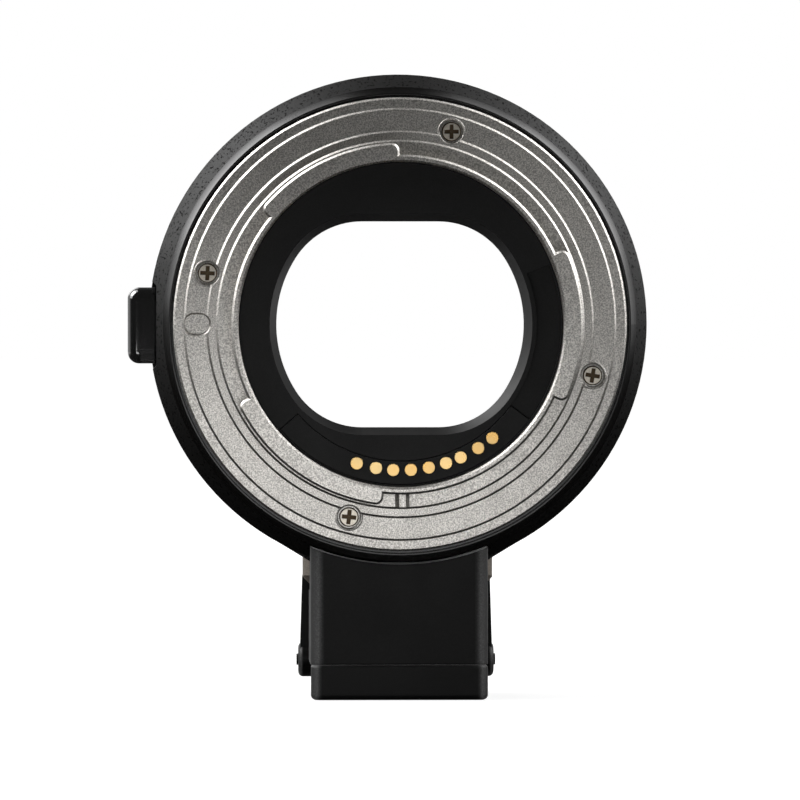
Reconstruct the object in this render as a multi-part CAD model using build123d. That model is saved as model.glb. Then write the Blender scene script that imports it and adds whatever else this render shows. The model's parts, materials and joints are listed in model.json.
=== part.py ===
from build123d import *
import os
from math import acos, atan2, cos, degrees, hypot, radians, sin, sqrt

# Lens mount adapter with a removable tripod foot. Millimetres.
# The optical axis is Y: the camera side faces -Y, the lens side +Y, and +Z is up.
# The origin is on the optical axis, in the plane where the adapter seats on a camera.
# Angles go from +X towards +Z, as seen from the camera side.

# Fits
SLIP = 0.1            # between pieces that are assembled and then stay put
RUNNING = 0.05        # radial, round a piece that slides or turns
SCREW_ROOM = 0.05     # radial, round a screw's shank
EDGE = 0.3            # small broken edge
PAST = 1.0            # how far a cutter runs past the face that it opens
SCREW_TURN = 3.0      # angle between the cross slots of neighbouring screws

# Register
FLANGE_DISTANCE = 26.0    # camera seat to lens seat

# Camera bayonet: a tube with three outward lugs on a stepped flange
CAMERA_BORE_R = 22.5
CAMERA_TUBE_WALL = 1.0
CAMERA_LUG_REACH = 1.65
CAMERA_TUBE_RISE = 5.2
CAMERA_LUG_T = 1.7
LUG_CORNER = 1.1
CAMERA_LUGS = ((-25.6, 25.0), (90.6, 141.0), (205.6, 264.0))
LEDGE_REACH = 0.5         # past the lugs
LEDGE_RISE = 0.45
SEAT_WIDTH = 1.3
LAND_WIDTH = 3.15
LAND_DROP = 0.4
RIM_WIDTH = 1.45
RIM_DROP = 0.4
RIM_GROOVE = 0.35         # open groove between the rim and the housing
STEP_BEVEL = 0.28         # on each turned step
CAMERA_FLANGE_T = 2.6
STOP_ANGLE = 270.6
STOP_HALF_WIDTH = 1.0
STOP_TOP_HALF_WIDTH = 0.45
STOP_RISE = 0.9
LOCK_RECESS_INSET = 1.3   # past the seat
LOCK_RECESS_LENGTH = 3.55
LOCK_RECESS_WIDTH = 2.85
LOCK_RECESS_DEPTH = 1.1
LOCK_RECESS_BEVEL = 0.2

# Small screws of the two mounts
MOUNT_SCREW_R = 0.8
MOUNT_SCREW_LENGTH = 5.2
MOUNT_HEAD_R = 1.35
MOUNT_HEAD_T = 0.9
MOUNT_HEAD_POCKET_R = 1.57
POCKET_BEVEL = 0.18
HEAD_BEVEL = 0.15
CROSS_LENGTH = 2.0
CROSS_WIDTH = 0.55
CROSS_DEPTH = 0.55
CAMERA_SCREW_INSET = 0.75 # past the seat
CAMERA_SCREW_ANGLE = 75.1
LENS_SCREW_INSET = 2.6    # past the bore
LENS_SCREW_ANGLE = 45.0
MOUNT_SCREWS = 4

# Housing
LIP_WIDTH = 0.25
LIP_DROP = 1.3
BARREL_WALL = 1.1
RING_WALL = 2.7
SHOULDER_Y = 9.5
SHOULDER_LENGTH = 2.0
HOUSING_FRONT_DROP = 0.8
FRONT_BEVEL = 1.0
BORE_STEP = 1.2           # housing bore past the lens bore
WEB_T = 2.8
WEB_REACH = 0.5           # inside the camera bore
CHIN_DROP = 0.4           # below the barrel
CHIN_SIDE_INSET = 1.0     # inside the shoe's width

# Lens bayonet: a ring with three inward lugs
LENS_BORE_R = 27.0
LENS_LUG_REACH = 1.6
LENS_LUG_T = 1.9
LENS_LUG_DEPTH = 1.1
LENS_LUG_SPAN = 62.0
LENS_LUG_CENTRES = (30.0, 150.0, 270.0)
LENS_SEAT_WIDTH = 4.0
LENS_RIM_WIDTH = 1.1
LENS_RIM_DROP = 0.5
LENS_FLANGE_T = 3.0
LEAF_T = 0.25
LEAF_SPAN = 50.0
LEAF_WIDTH = 1.2

# Index marks beside the lens bayonet
MARK_INSET = 0.85         # past the housing's front recess
MARK_DOT_R = 0.6
MARK_SQUARE = 1.1
MARK_T = 0.4
MARK_DOT_ANGLE = 90.0
MARK_SQUARE_ANGLE = 62.0

# Inner light shield
SHIELD_T = 0.7

# Camera baffle with the picture window
BAFFLE_FACE_Y = -3.2
BAFFLE_FACE_T = 2.0
BAFFLE_SKIRT_T = 1.1
BAFFLE_FLANGE_WIDTH = 1.9
BAFFLE_FLANGE_T = 1.6
WINDOW_HALF_WIDTH = 18.2
WINDOW_HALF_HEIGHT = 15.3
WINDOW_CORNER_R = 11.9
WINDOW_TAPER = 1.0
WINDOW_DEPTH = 4.5
WINDOW_WALL = 1.0
SHELF_END = 382.0
SHELF_DEPTH = 0.8

# Camera contacts
CONTACT_BLOCK_WALL = 0.3
CONTACT_BLOCK_WIDTH = 3.15
CONTACT_BLOCK_START = 221.0
CONTACT_BLOCK_END = 323.4
CONTACT_BLOCK_T = 2.2
CONTACT_TRAY_T = 1.2
TRAY_MARGIN = 2.0         # angle of tray wall beyond each end of the block
CONTACT_INSET = 1.22
CONTACT_PAD_R = 0.85
CONTACT_PROUD = 0.15
CONTACT_MARGIN = 3.5      # angle left free beside the first and last contact
CONTACT_ANGLES = (252.3, 260.1, 266.9, 273.9, 281.0, 288.0, 294.2, 302.0, 308.8)

# Circuit board, its chip and the flexible cable
BOARD_GAP = 0.4
BOARD_WIDTH = 5.4
BOARD_T = 0.8
BOARD_START = 203.0
BOARD_END = 337.0
CHIP_LENGTH = 4.0
CHIP_WIDTH = 3.0
CHIP_T = 0.9
CHIP_INSET = 2.4
CHIP_ANGLE = 216.0
FLEX_T = 0.15
FLEX_WIDTH = 6.0
FLEX_ANGLE = 322.0
FLEX_ARC_WIDTH = 1.5
FLEX_GAP = 0.7
FLEX_TAB = 2.6

# Lens contacts: sprung pins in a block that stands on the board
LENS_BLOCK_WIDTH = 5.0
LENS_BLOCK_INSET = 1.2
LENS_BLOCK_START = 241.0
LENS_BLOCK_END = 299.0
LENS_BLOCK_H = 9.4
LENS_BLOCK_EAR = 7.0
LENS_BLOCK_EAR_T = 1.2
LENS_BLOCK_EAR_WIDTH = 5.0
LENS_BLOCK_EAR_INSET = 0.2
PIN_INSET = 2.2
PIN_ANGLES = (246.0, 252.0, 258.0, 264.0, 270.0, 279.0, 285.0, 291.0)
PIN_R = 0.65
PIN_COLLAR_R = 0.95
PIN_COLLAR_T = 1.9
PIN_GUIDE = 2.0
PIN_PROUD = 1.4
PIN_BEVEL = 0.3
PIN_SPRING_T = 0.14
PIN_SPRING_WIDTH = 0.8
PIN_SPRING_REACH = 0.55
PIN_SPRING_FOLDS = 3
EAR_SCREW_R = 0.6
EAR_SCREW_LENGTH = 5.2
EAR_SCREW_HEAD_R = 1.2
EAR_SCREW_HEAD_T = 0.7

# Cover over the electronics
COVER_T = 0.8
COVER_INSET = 2.1         # inside the board's inner edge

# Lens lock: lever, slide, pin and spring
LOCK_PIN_INSET = 1.0      # inside the lens seat's edge
LOCK_PIN_R = 1.25
LOCK_PIN_PROUD = 1.3
LOCK_PIN_SEAT = 3.0
LOCK_TRAVEL = 2.2
LEVER_PROUD = 2.95
LEVER_GAP = 0.2
LEVER_TOP = 5.1
LEVER_BOTTOM = 5.6
LEVER_CORNER = 1.6
LEVER_ROUND = 1.5         # on its camera end
LEVER_INSET = 1.9         # behind the shoulder
LEVER_LENGTH = 8.0
LEVER_LEDGE = 1.8
LEVER_LEDGE_DEPTH = 0.6
LEVER_RIDGES = 3
LEVER_RIDGE_PITCH = 1.9
LEVER_GROOVE_R = 0.5
NOTCH_DEPTH = 1.1
NOTCH_ROOM = 0.25
NOTCH_FLARE = 0.7
SLIDE_HALF_HEIGHT = 3.2
SLIDE_INSET = 2.2         # from the lever's camera end
SLIDE_LENGTH = 3.8
SLIDE_WALL = 0.5          # between the slide and the housing's bore
SLIDE_T = 2.9
SLIDE_ROOM = 0.3
LOCK_SPRING_LENGTH = 3.4
SLIDE_SCREW_R = 0.45
SLIDE_SCREW_Z = 2.25
SLIDE_SCREW_LENGTH = 4.6
SLIDE_SCREW_HEAD_R = 0.8
SLIDE_SCREW_HEAD_T = 0.6
LOCK_SPRING_R = 1.2
LOCK_SPRING_WIRE = 0.3
LOCK_SPRING_TURNS = 3

# Tripod shoe under the housing
SHOE_SIDE_INSET = 0.35    # inside the flap's width
SHOE_INSET = 1.1          # behind the shoulder
SHOE_LENGTH = 6.0
SHOE_T = 4.2
SHOE_HUG = 0.6            # how far its ends reach up the chin's flanks
SHOE_NECK = 2.0
SHOE_DOVETAIL = 0.8
SHOE_TOE = 1.0
SHOE_SIDE_BEVEL = 2.0
SHOE_SCREW_R = 1.15
SHOE_SCREW_HEAD_R = 2.2
SHOE_SCREW_X = 6.5
SHOE_SCREW_LENGTH = 7.0

# Tripod foot
FOOT_HALF_WIDTH = 12.4
FOOT_Y = 3.5
FOOT_BACK_ROOM = 0.2
FOOT_HEIGHT = 9.9         # below the shoe
FOOT_ROUND = 1.9
FOOT_BACK_ROUND = 0.8
SADDLE_GAP = 0.5
SADDLE_LENGTH = 5.7
SOLE_T = 4.9
SOLE_PROUD = 0.9
SOLE_CORNER = 1.5
SOLE_SEAM = 0.3
SOLE_DRAFT = 0.45         # narrower at its lens side, on each flank
SOLE_ROUND = 0.7          # along the lower edges
SOLE_SCREW_X = 8.4
SOLE_SCREW_R = 1.15
SOLE_SCREW_HEAD_R = 2.2
SOLE_SCREW_LENGTH = 8.6
BUSH_R = 4.0
BUSH_THREAD_R = 2.55      # minor radius of a 1/4 inch, 20 turns per inch thread
BUSH_LENGTH = 6.5
BOLT_ROOM_R = 3.3
BOLT_ROOM = 2.4

# Latch flap on the foot's lens side
LATCH_AXIS_INSET = 1.6
LATCH_AXIS_DROP = 0.15    # below the seam of the foot
LATCH_KNUCKLE_R = 2.45
LATCH_KNUCKLE_PROUD = 0.2 # past the plate's sides
LATCH_KNUCKLE_ROUND = 0.7
LATCH_PIN_R = 0.8
LATCH_PIN_PROUD = 0.25
LATCH_HALF_WIDTH = 13.65
LATCH_TOP_HALF_WIDTH = 13.25
LATCH_TOP_GAP = 0.7
LATCH_T = 2.2
LATCH_GAP = 0.4
LATCH_LIP_T = 1.2
LATCH_MIDDLE = 8.6
LATCH_ROOM = 0.2
LATCH_CORNER = 2.0

# Derived radii of the camera bayonet, from the bore outwards
CAMERA_TUBE_R = CAMERA_BORE_R + CAMERA_TUBE_WALL
CAMERA_LUG_R = CAMERA_TUBE_R + CAMERA_LUG_REACH
LEDGE_R = CAMERA_LUG_R + LEDGE_REACH
SEAT_R = LEDGE_R + SEAT_WIDTH
LAND_R = SEAT_R + LAND_WIDTH
RIM_R = LAND_R + RIM_WIDTH
LOCK_RECESS_R = SEAT_R + LOCK_RECESS_INSET
CAMERA_SCREW_R = SEAT_R + CAMERA_SCREW_INSET

# Derived radii of the lens bayonet
LENS_LUG_R = LENS_BORE_R - LENS_LUG_REACH
LENS_SEAT_R = LENS_BORE_R + LENS_SEAT_WIDTH
LENS_RIM_R = LENS_SEAT_R + LENS_RIM_WIDTH
LENS_SCREW_R = LENS_BORE_R + LENS_SCREW_INSET
LOCK_PIN_CIRCLE_R = LENS_SEAT_R - LOCK_PIN_INSET

# Derived radii of the housing, which wraps both bayonets
COUNTERBORE_R = RIM_R + RIM_GROOVE
LIP_R = COUNTERBORE_R + LIP_WIDTH
BARREL_R = COUNTERBORE_R + BARREL_WALL
FRONT_COUNTERBORE_R = LENS_RIM_R + 2 * SLIP
RING_R = FRONT_COUNTERBORE_R + RING_WALL
HOUSING_BORE_R = LENS_BORE_R + BORE_STEP
WEB_R = CAMERA_BORE_R - WEB_REACH
MARK_R = FRONT_COUNTERBORE_R + MARK_INSET

# Derived radii of what lies inside
SHIELD_OUT_R = HOUSING_BORE_R - SLIP
SHIELD_IN_R = SHIELD_OUT_R - SHIELD_T
BAFFLE_R = CAMERA_BORE_R - SLIP
BAFFLE_FLANGE_R = CAMERA_BORE_R + BAFFLE_FLANGE_WIDTH
CONTACT_BLOCK_OUT_R = BAFFLE_R - CONTACT_BLOCK_WALL
CONTACT_BLOCK_IN_R = CONTACT_BLOCK_OUT_R - CONTACT_BLOCK_WIDTH
CONTACT_R = CONTACT_BLOCK_IN_R + CONTACT_INSET
BOARD_OUT_R = SHIELD_IN_R - BOARD_GAP
BOARD_IN_R = BOARD_OUT_R - BOARD_WIDTH
CHIP_R = BOARD_OUT_R - CHIP_INSET
FLEX_TAIL_R = BOARD_IN_R - FLEX_GAP
FLEX_IN_R = FLEX_TAIL_R - FLEX_ARC_WIDTH
LENS_BLOCK_OUT_R = BOARD_OUT_R - LENS_BLOCK_INSET
LENS_BLOCK_IN_R = LENS_BLOCK_OUT_R - LENS_BLOCK_WIDTH
LENS_BLOCK_EAR_OUT_R = BOARD_OUT_R - LENS_BLOCK_EAR_INSET
LENS_BLOCK_EAR_IN_R = LENS_BLOCK_EAR_OUT_R - LENS_BLOCK_EAR_WIDTH
PIN_CIRCLE_R = LENS_BLOCK_IN_R + PIN_INSET
COVER_IN_R = BOARD_IN_R - COVER_INSET
COVER_OUT_R = SHIELD_IN_R - SLIP

# Derived places along the optical axis
LAND_Y = LAND_DROP
RIM_Y = LAND_Y + RIM_DROP
CAMERA_HEAD_Y = LAND_Y + MOUNT_HEAD_T
RING_Y = SHOULDER_Y + SHOULDER_LENGTH
LENS_SEAT_Y = FLANGE_DISTANCE
LENS_BACK_Y = LENS_SEAT_Y - LENS_FLANGE_T
LENS_HEAD_Y = LENS_SEAT_Y - MOUNT_HEAD_T
LENS_LUG_Y = LENS_SEAT_Y - LENS_LUG_DEPTH
HOUSING_FRONT_Y = LENS_SEAT_Y - HOUSING_FRONT_DROP
BAFFLE_FLANGE_Y = CAMERA_FLANGE_T
BAFFLE_BACK_Y = BAFFLE_FLANGE_Y + BAFFLE_FLANGE_T
WEB_BACK_Y = BAFFLE_BACK_Y + WEB_T
TRAY_Y = BAFFLE_FACE_Y + CONTACT_BLOCK_T
FLEX_Y = TRAY_Y + CONTACT_TRAY_T
BOARD_BACK_Y = WEB_BACK_Y + BOARD_T
EAR_BACK_Y = BOARD_BACK_Y + LENS_BLOCK_EAR_T
COVER_BACK_Y = EAR_BACK_Y + COVER_T
LENS_BLOCK_Y = BOARD_BACK_Y + LENS_BLOCK_H
PIN_SHOULDER_Y = LENS_BLOCK_Y - PIN_GUIDE
PIN_COLLAR_Y = PIN_SHOULDER_Y - RUNNING - PIN_COLLAR_T
LEVER_Y = RING_Y + LEVER_INSET
LEVER_FRONT_Y = LEVER_Y + LEVER_LENGTH
SLIDE_Y = LEVER_Y + SLIDE_INSET
SLIDE_FRONT_Y = SLIDE_Y + SLIDE_LENGTH
LOCK_POCKET_Y = SLIDE_Y - LOCK_SPRING_LENGTH
SHOE_Y = RING_Y + SHOE_INSET
SHOE_FRONT_Y = SHOE_Y + SHOE_LENGTH
SHOE_MIDDLE_Y = SHOE_Y + SHOE_LENGTH / 2
FOOT_BACK_Y = SHOE_FRONT_Y + SHOE_DOVETAIL + FOOT_BACK_ROOM
SOLE_Y = FOOT_Y - SOLE_PROUD
FOOT_MIDDLE_Y = (SOLE_Y + FOOT_BACK_Y) / 2
LATCH_IN_Y = FOOT_BACK_Y + LATCH_GAP
LATCH_OUT_Y = LATCH_IN_Y + LATCH_T
LATCH_AXIS_Y = LATCH_IN_Y + LATCH_AXIS_INSET

# Derived places of the lever beside the ring, and of the foot below it
NOTCH_FLOOR_X = RING_R - NOTCH_DEPTH
LEVER_UNDER_X = NOTCH_FLOOR_X + LEVER_GAP
LEVER_REACH = RING_R + LEVER_PROUD
SLIDE_IN_X = HOUSING_BORE_R + SLIDE_WALL
SLIDE_OUT_X = SLIDE_IN_X + SLIDE_T
SHOE_HALF_WIDTH = LATCH_HALF_WIDTH - SHOE_SIDE_INSET
CHIN_HALF_WIDTH = SHOE_HALF_WIDTH - CHIN_SIDE_INSET
CHIN_Z = BARREL_R + CHIN_DROP
SHOE_BOTTOM_Z = CHIN_Z + SHOE_T
SHOE_SLOPE_Z = CHIN_Z + SHOE_NECK
SHOE_TOE_Z = SHOE_BOTTOM_Z - SHOE_TOE
FOOT_BOTTOM_Z = SHOE_BOTTOM_Z + FOOT_HEIGHT
SOLE_BOTTOM_Z = FOOT_BOTTOM_Z + SOLE_T
KNUCKLE_END_X = LATCH_HALF_WIDTH + LATCH_KNUCKLE_PROUD
LATCH_AXIS_Z = FOOT_BOTTOM_Z + LATCH_AXIS_DROP
LATCH_TOP_Z = CHIN_Z + LATCH_TOP_GAP
EAR_MIDDLE = LENS_BLOCK_EAR / 2


def polar(radius, angle):
    """Place on a circle about the optical axis, as (x, z)."""
    return radius * cos(radians(angle)), radius * sin(radians(angle))


def facing(y):
    """Plane across the optical axis that faces the camera side."""
    return Plane(origin=(0, y, 0), x_dir=(1, 0, 0), z_dir=(0, -1, 0))


def across(face, low_y, high_y):
    """Solid with a section drawn in (x, z), from low_y to high_y."""
    return extrude(facing(high_y) * face, amount=high_y - low_y)


def upright(face, low_z, high_z):
    """Solid with a section drawn in (x, y), from low_z to high_z."""
    return extrude(Plane.XY.offset(low_z) * face, amount=high_z - low_z)


def sideways(points, half_width):
    """Solid with an outline drawn in (y, z), symmetric about the middle plane."""
    outline = make_face(Polyline(*points, close=True))
    return extrude(Plane.YZ * outline, amount=half_width, both=True)


def turned(points, start=0.0, end=360.0):
    """Solid turned about the optical axis from an outline in (radius, y)."""
    outline = make_face(Polyline(*points, close=True))
    return Rot(0, -end, 0) * revolve(outline, Axis.Y, end - start)


def sector(in_r, out_r, low_y, high_y, start=0.0, end=360.0):
    """Ring, or part of one, with a rectangular section."""
    return turned([(in_r, low_y), (out_r, low_y), (out_r, high_y), (in_r, high_y)], start, end)


def round_corners(shape, radius, corner_r):
    """Round the edges along the optical axis that lie at one radius from it."""
    along = shape.edges().filter_by(Axis.Y)
    corners = [e for e in along if abs(hypot(e.center().X, e.center().Z) - radius) < SLIP]
    return fillet(corners, corner_r)


def rod(radius, x, z, low_y, high_y):
    """Round bar along the optical axis."""
    return across(Pos(x, z) * Circle(radius), low_y, high_y)


def post(radius, x, y, low_z, high_z):
    """Round bar along Z."""
    return upright(Pos(x, y) * Circle(radius), low_z, high_z)


def bar(radius, y, z, low_x, high_x):
    """Round bar along X."""
    disc = Plane.YZ.offset(low_x) * (Pos(y, z) * Circle(radius))
    return extrude(disc, amount=high_x - low_x)


def block(low, high):
    """Box between two corners."""
    size = [b - a for a, b in zip(low, high)]
    middle = [(a + b) / 2 for a, b in zip(low, high)]
    return Pos(*middle) * Box(*size)


def every(count, first):
    """Evenly spaced angles round the axis."""
    return [first + 360 / count * k for k in range(count)]


def cross_recess(depth):
    """Cutter for a cross slot, open towards +Z."""
    arms = Rectangle(CROSS_LENGTH, CROSS_WIDTH) + Rectangle(CROSS_WIDTH, CROSS_LENGTH)
    return extrude(arms, amount=-depth)


def cheese_screw(shank_r, length, head_r, head_t):
    """Screw along Z with its head above the seat at z = 0."""
    head = extrude(Circle(head_r), amount=head_t)
    head = chamfer(head.edges().sort_by(Axis.Z)[-1], HEAD_BEVEL)
    screw = head + extrude(Circle(shank_r), amount=-length)
    return screw - Pos(0, 0, head_t) * cross_recess(CROSS_DEPTH * head_t / MOUNT_HEAD_T)


def countersunk_screw(shank_r, length, head_r):
    """Screw along Z with a flat head whose top is at z = 0."""
    cone_t = head_r - shank_r
    head = Pos(0, 0, -cone_t / 2) * Cone(shank_r, head_r, cone_t)
    screw = head + extrude(Circle(shank_r), amount=-length)
    return screw - cross_recess(CROSS_DEPTH)


def countersink(shank_r, length, head_r):
    """Cutter for a countersunk screw's hole, open towards +Z."""
    cone_t = head_r - shank_r
    hole_r = shank_r + SCREW_ROOM
    top_r = head_r + SCREW_ROOM
    head = Pos(0, 0, -cone_t / 2) * Cone(hole_r, top_r, cone_t)
    return head + extrude(Circle(hole_r), amount=-length)


# A screw that is drawn along Z is laid along the optical axis by these two turns
TO_CAMERA = Rot(90, 0, 0)     # head towards the camera side
TO_LENS = Rot(-90, 0, 0)      # head towards the lens side


def camera_mount():
    """Male bayonet: stepped flange, tube, three lugs and the stop rib."""
    tip_y = -CAMERA_TUBE_RISE
    outline = [
        (CAMERA_BORE_R, CAMERA_FLANGE_T),
        (CAMERA_BORE_R, tip_y + EDGE),
        (CAMERA_BORE_R + EDGE, tip_y),
        (CAMERA_TUBE_R - EDGE, tip_y),
        (CAMERA_TUBE_R, tip_y + EDGE),
        (CAMERA_TUBE_R, -LEDGE_RISE),
    ]
    for radius, high_y, low_y in (
        (LEDGE_R, -LEDGE_RISE, 0),
        (SEAT_R, 0, LAND_Y),
        (LAND_R, LAND_Y, RIM_Y),
        (RIM_R, RIM_Y, CAMERA_FLANGE_T),
    ):
        outline += [(radius - STEP_BEVEL, high_y), (radius, high_y + STEP_BEVEL), (radius, low_y)]
    mount = turned(outline)
    root_r = CAMERA_BORE_R + EDGE
    for start, end in CAMERA_LUGS:
        lug = sector(root_r, CAMERA_LUG_R, tip_y, tip_y + CAMERA_LUG_T, start, end)
        lug = round_corners(lug, CAMERA_LUG_R, LUG_CORNER)
        mount += chamfer(lug.faces().sort_by(Axis.Y)[0].edges(), EDGE)
    rib = Polyline(
        (-STOP_HALF_WIDTH, -LEDGE_RISE),
        (-STOP_TOP_HALF_WIDTH, -LEDGE_RISE - STOP_RISE),
        (STOP_TOP_HALF_WIDTH, -LEDGE_RISE - STOP_RISE),
        (STOP_HALF_WIDTH, -LEDGE_RISE),
        close=True,
    )
    rib_root = (CAMERA_BORE_R + CAMERA_TUBE_R) / 2
    rib_end = LEDGE_R - STEP_BEVEL
    rib_bar = extrude(Plane.XY.offset(rib_root) * make_face(rib), amount=rib_end - rib_root)
    mount += Rot(0, 90 - STOP_ANGLE, 0) * rib_bar
    recess = Pos(-LOCK_RECESS_R, 0) * SlotOverall(LOCK_RECESS_LENGTH, LOCK_RECESS_WIDTH)
    mount -= across(recess, 0, LAND_Y + LOCK_RECESS_DEPTH)
    mount -= extrude(facing(LAND_Y + LOCK_RECESS_BEVEL) * recess, amount=LOCK_RECESS_BEVEL, taper=-45)
    mount -= across(offset(recess, LOCK_RECESS_BEVEL), -EDGE, LAND_Y)
    brim_r = MOUNT_HEAD_POCKET_R + POCKET_BEVEL
    dish = Cone(MOUNT_HEAD_POCKET_R, brim_r, POCKET_BEVEL)
    for angle in every(MOUNT_SCREWS, CAMERA_SCREW_ANGLE):
        x, z = polar(CAMERA_SCREW_R, angle)
        mount -= rod(brim_r, x, z, -EDGE, LAND_Y)
        mount -= Pos(x, LAND_Y + POCKET_BEVEL / 2, z) * TO_CAMERA * dish
        mount -= rod(MOUNT_HEAD_POCKET_R, x, z, 0, CAMERA_HEAD_Y)
        mount -= rod(MOUNT_SCREW_R + SCREW_ROOM, x, z, 0, CAMERA_FLANGE_T)
    return mount


def camera_mount_screws():
    screw = TO_CAMERA * cheese_screw(MOUNT_SCREW_R, MOUNT_SCREW_LENGTH, MOUNT_HEAD_R, MOUNT_HEAD_T)
    places = [polar(CAMERA_SCREW_R, a) for a in every(MOUNT_SCREWS, CAMERA_SCREW_ANGLE)]
    turns = [Rot(0, SCREW_TURN * k, 0) for k in range(MOUNT_SCREWS)]
    return Compound([Pos(x, CAMERA_HEAD_Y, z) * turn * screw for (x, z), turn in zip(places, turns)])


def lens_mount():
    """Female bayonet: flange ring with three inward lugs and the lock pin's hole."""
    outline = [
        (LENS_BORE_R, LENS_BACK_Y),
        (LENS_BORE_R, LENS_SEAT_Y - EDGE),
        (LENS_BORE_R + EDGE, LENS_SEAT_Y),
        (LENS_SEAT_R - LENS_RIM_DROP, LENS_SEAT_Y),
        (LENS_SEAT_R, LENS_SEAT_Y - LENS_RIM_DROP),
        (LENS_RIM_R, LENS_SEAT_Y - LENS_RIM_DROP),
        (LENS_RIM_R, LENS_BACK_Y),
    ]
    mount = turned(outline)
    root_r = LENS_BORE_R + EDGE
    lug_outline = [
        (root_r, LENS_LUG_Y),
        (LENS_LUG_R + EDGE, LENS_LUG_Y),
        (LENS_LUG_R, LENS_LUG_Y - EDGE),
        (LENS_LUG_R, LENS_LUG_Y - LENS_LUG_T),
        (root_r, LENS_LUG_Y - LENS_LUG_T),
    ]
    for centre in LENS_LUG_CENTRES:
        lug = turned(lug_outline, centre - LENS_LUG_SPAN / 2, centre + LENS_LUG_SPAN / 2)
        mount += round_corners(lug, LENS_LUG_R, LUG_CORNER)
    mount -= rod(LOCK_PIN_R + RUNNING, -LOCK_PIN_CIRCLE_R, 0, LENS_BACK_Y, LENS_SEAT_Y)
    dish = Cone(MOUNT_HEAD_POCKET_R, MOUNT_HEAD_POCKET_R + POCKET_BEVEL, POCKET_BEVEL)
    for angle in every(MOUNT_SCREWS, LENS_SCREW_ANGLE):
        x, z = polar(LENS_SCREW_R, angle)
        mount -= rod(MOUNT_HEAD_POCKET_R, x, z, LENS_HEAD_Y, LENS_SEAT_Y)
        mount -= Pos(x, LENS_SEAT_Y - POCKET_BEVEL / 2, z) * TO_LENS * dish
        mount -= rod(MOUNT_SCREW_R + SCREW_ROOM, x, z, LENS_BACK_Y, LENS_SEAT_Y)
    return mount


def lens_mount_screws():
    screw = TO_LENS * cheese_screw(MOUNT_SCREW_R, MOUNT_SCREW_LENGTH, MOUNT_HEAD_R, MOUNT_HEAD_T)
    places = [polar(LENS_SCREW_R, a) for a in every(MOUNT_SCREWS, LENS_SCREW_ANGLE)]
    turns = [Rot(0, SCREW_TURN * k, 0) for k in range(MOUNT_SCREWS)]
    return Compound([Pos(x, LENS_HEAD_Y, z) * turn * screw for (x, z), turn in zip(places, turns)])


def mount_leaf_springs():
    """Leaves behind the lens lugs, which draw a lens onto the seat."""
    high_y = LENS_LUG_Y - LENS_LUG_T
    low_y = high_y - LEAF_T
    in_r = LENS_LUG_R + EDGE
    return Compound([
        sector(in_r, in_r + LEAF_WIDTH, low_y, high_y, centre - LEAF_SPAN / 2, centre + LEAF_SPAN / 2)
        for centre in LENS_LUG_CENTRES
    ])


def notch_section(low_z, high_z):
    """Outline of the lever's notch in (x, z), with its ends flared outwards."""
    outer_x = RING_R + NOTCH_FLARE
    flare = outer_x - NOTCH_FLOOR_X
    return make_face(Polyline(
        (-NOTCH_FLOOR_X, low_z),
        (-outer_x, low_z - flare),
        (-outer_x, high_z + flare),
        (-NOTCH_FLOOR_X, high_z),
        close=True,
    ))


def chin_section():
    """Outline of the chin in (x, z): a flat underside with flanks that run up to the ring."""
    lean = degrees(atan2(CHIN_HALF_WIDTH, CHIN_Z) + acos(RING_R / hypot(CHIN_HALF_WIDTH, CHIN_Z)))
    touch_x, touch_z = polar(RING_R - RUNNING, lean - 90)
    return make_face(Polyline(
        (-CHIN_HALF_WIDTH, -CHIN_Z),
        (CHIN_HALF_WIDTH, -CHIN_Z),
        (touch_x, touch_z),
        (-touch_x, touch_z),
        close=True,
    ))


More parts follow.
